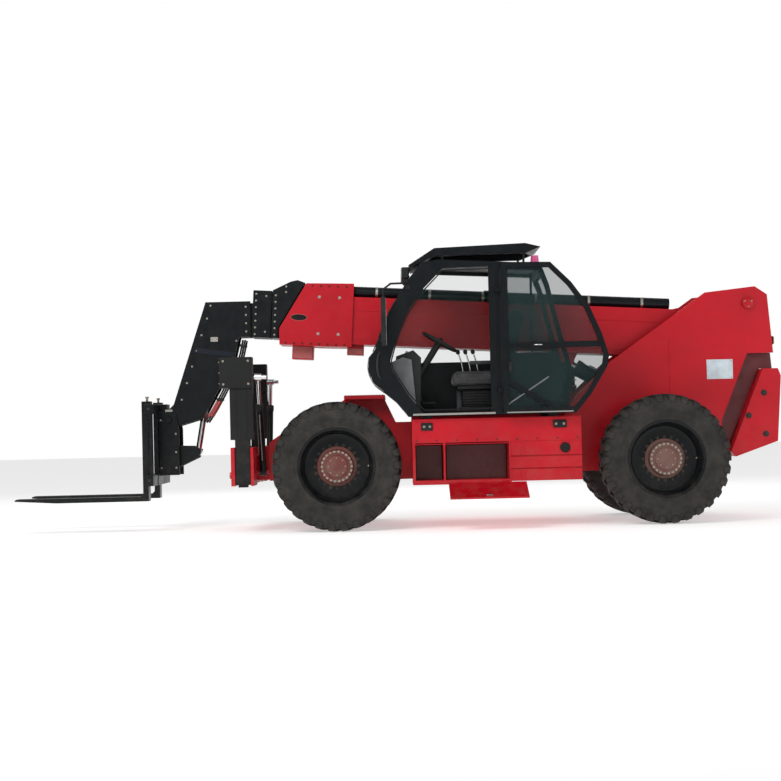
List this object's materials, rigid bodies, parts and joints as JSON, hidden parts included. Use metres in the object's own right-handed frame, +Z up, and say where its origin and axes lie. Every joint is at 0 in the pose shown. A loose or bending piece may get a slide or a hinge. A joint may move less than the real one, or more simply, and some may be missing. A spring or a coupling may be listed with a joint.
{
  "type": "telehandler",
  "caption": "Telescopic handler with a side cab, nested boom, pallet forks on a tilting carriage, steered wheels and front stabiliser legs.",
  "frame": {"origin": "on the ground under the middle of the bounding box, forks lowered to their travel height", "axes": "+X forward towards the fork tips, +Y to the machine's left (the cab side), +Z up"},
  "size_m": [8.24, 3.0831, 2.935],
  "materials": {
    "beacon_lens": "gloss",
    "black_paint": "satin",
    "black_plastic": "matte",
    "cast_iron": "rough",
    "chrome_rod": "polished",
    "grey_plastic": "matte",
    "red_paint": "satin",
    "seat_vinyl": "matte",
    "tinted_glass": "clear",
    "tyre_rubber": "matte"
  },
  "bodies": {
    "chassis": {"chassis_frame": "red_paint", "counterweight": "red_paint", "front_axle": "cast_iron", "rear_axle": "cast_iron", "side_box": "red_paint", "fuel_tank": "red_paint", "engine_pod": "red_paint", "engine_block": "cast_iron", "exhaust": "cast_iron", "cab_frame": "black_paint", "windscreen": "tinted_glass", "rear_window": "tinted_glass", "quarter_window": "tinted_glass", "side_window": "tinted_glass", "roof_guard": "black_paint", "seat": "seat_vinyl", "steering_console": "grey_plastic", "beacon": "beacon_lens", "mirror_left": "black_plastic", "mirror_right": "black_plastic"},
    "swivel_front_left": {"knuckle_front_left": "cast_iron"},
    "wheel_front_left": {"rim_front_left": "black_paint", "tyre_front_left": "tyre_rubber"},
    "swivel_front_right": {"knuckle_front_right": "cast_iron"},
    "wheel_front_right": {"rim_front_right": "black_paint", "tyre_front_right": "tyre_rubber"},
    "swivel_rear_left": {"knuckle_rear_left": "cast_iron"},
    "wheel_rear_left": {"rim_rear_left": "black_paint", "tyre_rear_left": "tyre_rubber"},
    "swivel_rear_right": {"knuckle_rear_right": "cast_iron"},
    "wheel_rear_right": {"rim_rear_right": "black_paint", "tyre_rear_right": "tyre_rubber"},
    "boom": {"boom_outer": "red_paint", "hose_cover": "black_paint"},
    "section_2": {"boom_section_2": "black_paint"},
    "section_3": {"boom_section_3": "black_paint"},
    "section_4": {"boom_section_4": "black_paint", "boom_head": "black_paint"},
    "carriage": {"carriage": "black_paint", "fork_left": "black_paint", "fork_right": "black_paint"},
    "lift_barrel": {"lift_cylinder_barrel": "black_paint"},
    "lift_rod": {"lift_cylinder_rod": "chrome_rod"},
    "tilt_barrel": {"tilt_cylinder_barrel": "black_paint"},
    "tilt_rod": {"tilt_cylinder_rod": "chrome_rod"},
    "leg_left": {"stabiliser_leg_left": "black_paint"},
    "leg_barrel_left": {"stabiliser_cylinder_left_barrel": "black_paint"},
    "leg_rod_left": {"stabiliser_cylinder_left_rod": "chrome_rod"},
    "leg_right": {"stabiliser_leg_right": "black_paint"},
    "leg_barrel_right": {"stabiliser_cylinder_right_barrel": "black_paint"},
    "leg_rod_right": {"stabiliser_cylinder_right_rod": "chrome_rod"},
    "cab_door": {"cab_door": "black_paint", "door_glass": "tinted_glass"},
    "toolbox_door": {"toolbox_door": "red_paint"},
    "engine_hood": {"engine_hood": "red_paint"}
  },
  "joints": [
    {"name": "steer_front_left", "type": "hinge", "parent": "chassis", "child": "swivel_front_left", "pos_m": [0.64, 0.85, 0.67243], "axis": [0, 0, 1], "range_deg": [-35, 35]},
    {"name": "steer_front_right", "type": "hinge", "parent": "chassis", "child": "swivel_front_right", "pos_m": [0.64, -0.85, 0.67243], "axis": [0, 0, 1], "range_deg": [-35, 35]},
    {"name": "wheel_front_left_spin", "type": "hinge", "parent": "swivel_front_left", "child": "wheel_front_left", "pos_m": [0.64, 1, 0.67243], "axis": [0, 1, 0], "continuous": true},
    {"name": "wheel_front_right_spin", "type": "hinge", "parent": "swivel_front_right", "child": "wheel_front_right", "pos_m": [0.64, -1, 0.67243], "axis": [0, 1, 0], "continuous": true},
    {"name": "steer_rear_left", "type": "hinge", "parent": "chassis", "child": "swivel_rear_left", "pos_m": [-2.76, 0.85, 0.67243], "axis": [0, 0, -1], "range_deg": [-35, 35]},
    {"name": "steer_rear_right", "type": "hinge", "parent": "chassis", "child": "swivel_rear_right", "pos_m": [-2.76, -0.85, 0.67243], "axis": [0, 0, -1], "range_deg": [-35, 35]},
    {"name": "wheel_rear_left_spin", "type": "hinge", "parent": "swivel_rear_left", "child": "wheel_rear_left", "pos_m": [-2.76, 1, 0.67243], "axis": [0, 1, 0], "continuous": true},
    {"name": "wheel_rear_right_spin", "type": "hinge", "parent": "swivel_rear_right", "child": "wheel_rear_right", "pos_m": [-2.76, -1, 0.67243], "axis": [0, 1, 0], "continuous": true},
    {"name": "boom_lift", "type": "hinge", "parent": "chassis", "child": "boom", "pos_m": [-3.8, 0, 2.31], "axis": [0, -1, 0], "range_deg": [-2, 66]},
    {"name": "boom_extend", "type": "slide", "parent": "boom", "child": "section_2", "axis": [0.998, 0, 0.0628], "range_m": [0, 3.2]},
    {"name": "boom_extend_3", "type": "slide", "parent": "section_2", "child": "section_3", "axis": [0.998, 0, 0.0628], "range_m": [0, 3.2]},
    {"name": "boom_extend_4", "type": "slide", "parent": "section_3", "child": "section_4", "axis": [0.998, 0, 0.0628], "range_m": [0, 3.2]},
    {"name": "fork_tilt", "type": "hinge", "parent": "section_4", "child": "carriage", "pos_m": [2.495, 0, 1.204], "axis": [0, 1, 0], "range_deg": [-15, 65]},
    {"name": "lift_barrel_swing", "type": "hinge", "parent": "chassis", "child": "lift_barrel", "pos_m": [-3.31, 0, 0.9], "axis": [0, -1, 0], "range_deg": [-1.4, 44.45]},
    {"name": "lift_rod_slide", "type": "slide", "parent": "lift_barrel", "child": "lift_rod", "axis": [0.8656, 0, 0.5008], "range_m": [-0.0425, 1.3875]},
    {"name": "tilt_barrel_swing", "type": "hinge", "parent": "section_4", "child": "tilt_barrel", "pos_m": [1.98, 0, 2.07], "axis": [0, 1, 0], "range_deg": [-1.3, 5.4]},
    {"name": "tilt_rod_slide", "type": "slide", "parent": "tilt_barrel", "child": "tilt_rod", "axis": [0.1766, 0, -0.9843], "range_m": [-0.495, 0.115]},
    {"name": "stabiliser_left", "type": "hinge", "parent": "chassis", "child": "leg_left", "pos_m": [1.5, 0.97, 0.6], "axis": [-1, 0, 0], "range_deg": [0, 114]},
    {"name": "stabiliser_left_barrel_swing", "type": "hinge", "parent": "chassis", "child": "leg_barrel_left", "pos_m": [1.455, 0.42, 0.62], "axis": [-1, 0, 0], "range_deg": [0, 78.3]},
    {"name": "stabiliser_left_rod_slide", "type": "slide", "parent": "leg_barrel_left", "child": "leg_rod_left", "axis": [0, 0.4327, 0.9015], "range_m": [0, 0.447]},
    {"name": "stabiliser_right", "type": "hinge", "parent": "chassis", "child": "leg_right", "pos_m": [1.5, -0.97, 0.6], "axis": [1, 0, 0], "range_deg": [0, 114]},
    {"name": "stabiliser_right_barrel_swing", "type": "hinge", "parent": "chassis", "child": "leg_barrel_right", "pos_m": [1.455, -0.42, 0.62], "axis": [1, 0, 0], "range_deg": [0, 78.3]},
    {"name": "stabiliser_right_rod_slide", "type": "slide", "parent": "leg_barrel_right", "child": "leg_rod_right", "axis": [0, -0.4327, 0.9015], "range_m": [0, 0.447]},
    {"name": "cab_door_swing", "type": "hinge", "parent": "chassis", "child": "cab_door", "pos_m": [-1.044, 1.2475, 1.42], "axis": [0, 0, -1], "range_deg": [0, 180]},
    {"name": "toolbox_door_swing", "type": "hinge", "parent": "chassis", "child": "toolbox_door", "pos_m": [-0.91, 1.165, 0.472], "axis": [1, 0, 0], "range_deg": [0, 110]},
    {"name": "engine_hood_swing", "type": "hinge", "parent": "chassis", "child": "engine_hood", "pos_m": [-1.06, -0.4383, 1.488], "axis": [-1, 0, 0], "range_deg": [0, 60]}
  ],
  "couplings": [
    {"joint": "steer_front_right", "follows": "steer_front_left", "ratio": 1},
    {"joint": "steer_rear_right", "follows": "steer_rear_left", "ratio": 1},
    {"joint": "boom_extend_3", "follows": "boom_extend", "ratio": 1},
    {"joint": "boom_extend_4", "follows": "boom_extend", "ratio": 1},
    {"joint": "lift_barrel_swing", "follows": "boom_lift", "ratio": 0.6727},
    {"joint": "lift_rod_slide", "follows": "boom_lift", "m_per_rad": 1.204},
    {"joint": "tilt_barrel_swing", "follows": "fork_tilt", "ratio": 0.08148},
    {"joint": "tilt_rod_slide", "follows": "fork_tilt", "m_per_rad": -0.43375},
    {"joint": "stabiliser_left_barrel_swing", "follows": "stabiliser_left", "ratio": 0.68559},
    {"joint": "stabiliser_left_rod_slide", "follows": "stabiliser_left", "m_per_rad": 0.22413},
    {"joint": "stabiliser_right_barrel_swing", "follows": "stabiliser_right", "ratio": 0.68559},
    {"joint": "stabiliser_right_rod_slide", "follows": "stabiliser_right", "m_per_rad": 0.22413}
  ]
}
